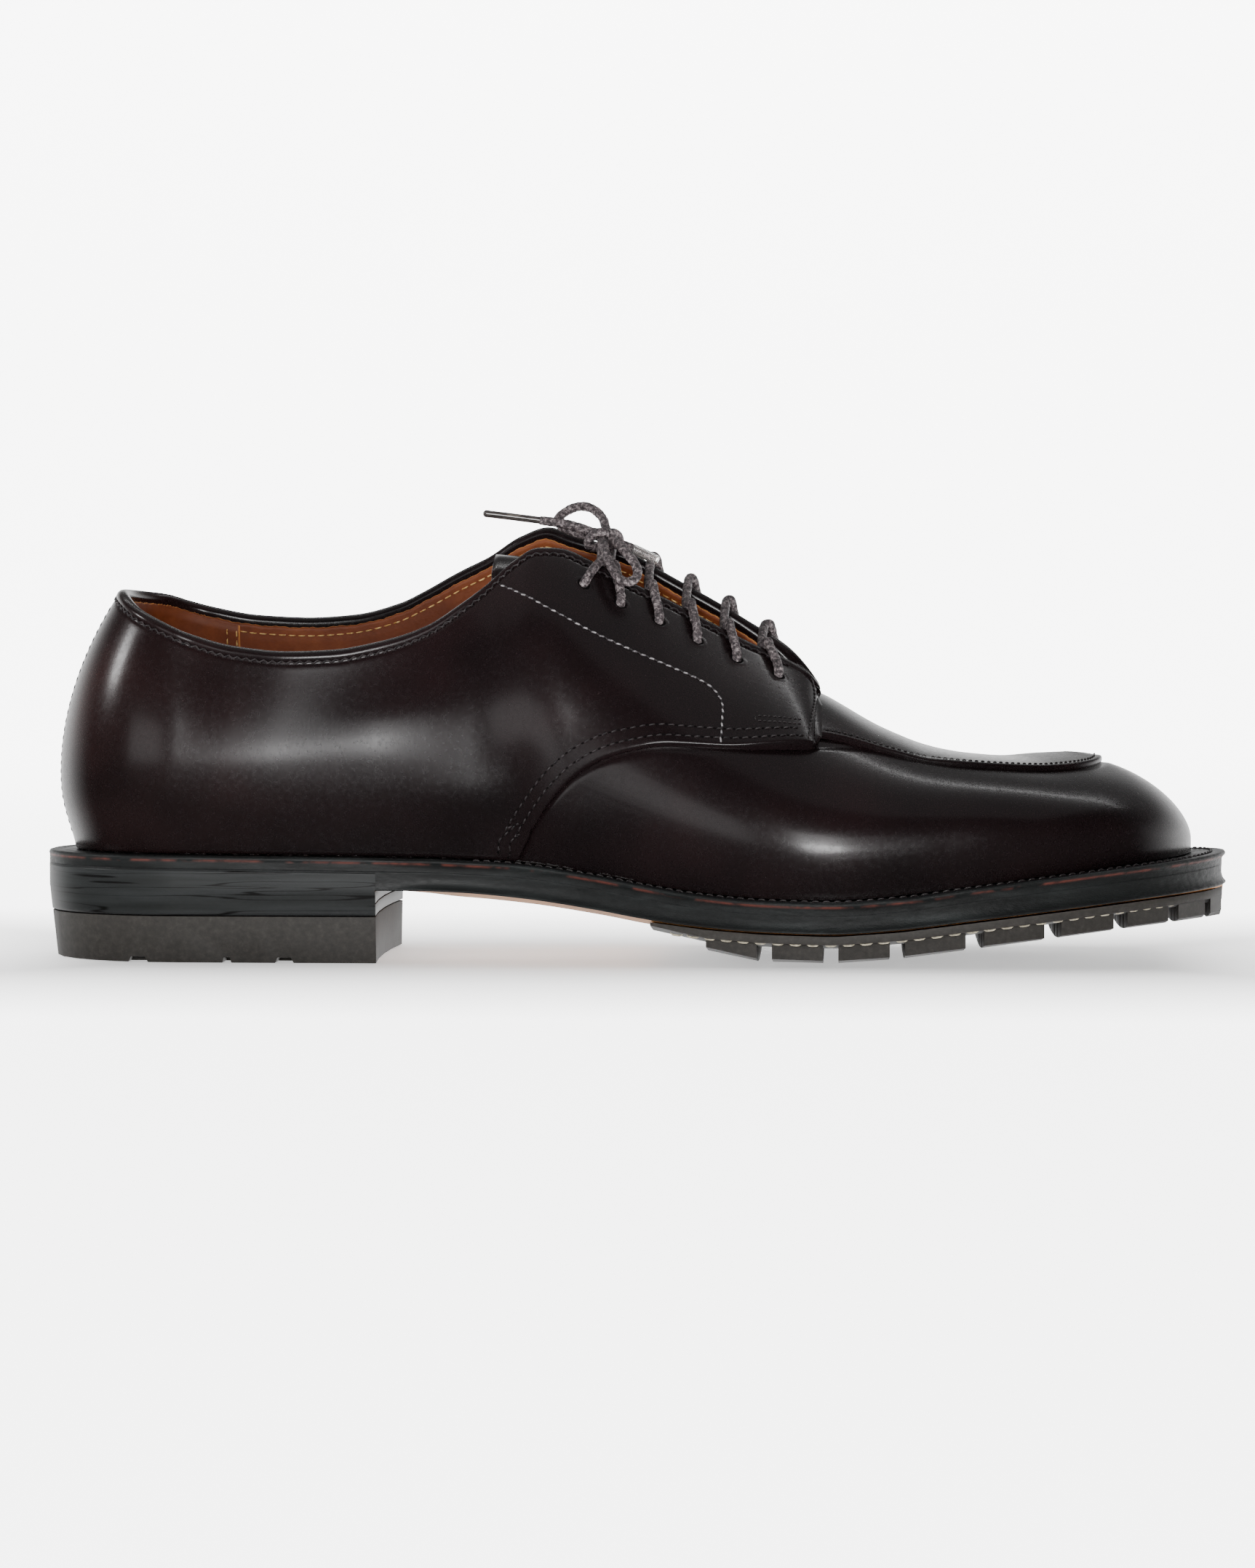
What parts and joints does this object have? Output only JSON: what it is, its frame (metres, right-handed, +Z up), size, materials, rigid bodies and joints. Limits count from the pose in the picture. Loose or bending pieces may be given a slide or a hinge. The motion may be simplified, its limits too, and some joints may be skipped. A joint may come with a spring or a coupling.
{
  "type": "apron toe derby",
  "caption": "Right-foot lace-up leather shoe with an apron toe seam, open-laced quarters, a welted leather sole, a lugged rubber half sole and a stacked heel.",
  "frame": {"origin": "bottom centre of the shoe's box, on the floor", "axes": "+X towards the toe, +Z up, -Y the outer (little-toe) side, +Y the inner side"},
  "size_m": [0.3076, 0.1085, 0.1181],
  "materials": {
    "burgundy_leather": "polished, near-black burgundy",
    "tan_leather": "natural tan",
    "sole_leather": "waxed black edge",
    "black_rubber": "matt dark olive",
    "lace_cotton": "waxed round cotton"
  },
  "bodies": {
    "root": {"upper": "burgundy_leather", "tongue": "burgundy_leather", "insole": "tan_leather", "welt": "sole_leather", "midsole": "sole_leather", "tread": "black_rubber", "heel_lift_upper": "sole_leather", "heel_lift_lower": "sole_leather", "heel_rubber": "black_rubber", "lace_bar_1": "lace_cotton", "lace_bar_2": "lace_cotton", "lace_bar_3": "lace_cotton", "lace_bar_4": "lace_cotton", "lace_bar_5": "lace_cotton", "lace_knot": "lace_cotton", "lace_loop_near": "lace_cotton", "lace_loop_far": "lace_cotton", "lace_end_back": "lace_cotton", "lace_end_front": "lace_cotton"}
  },
  "joints": []
}
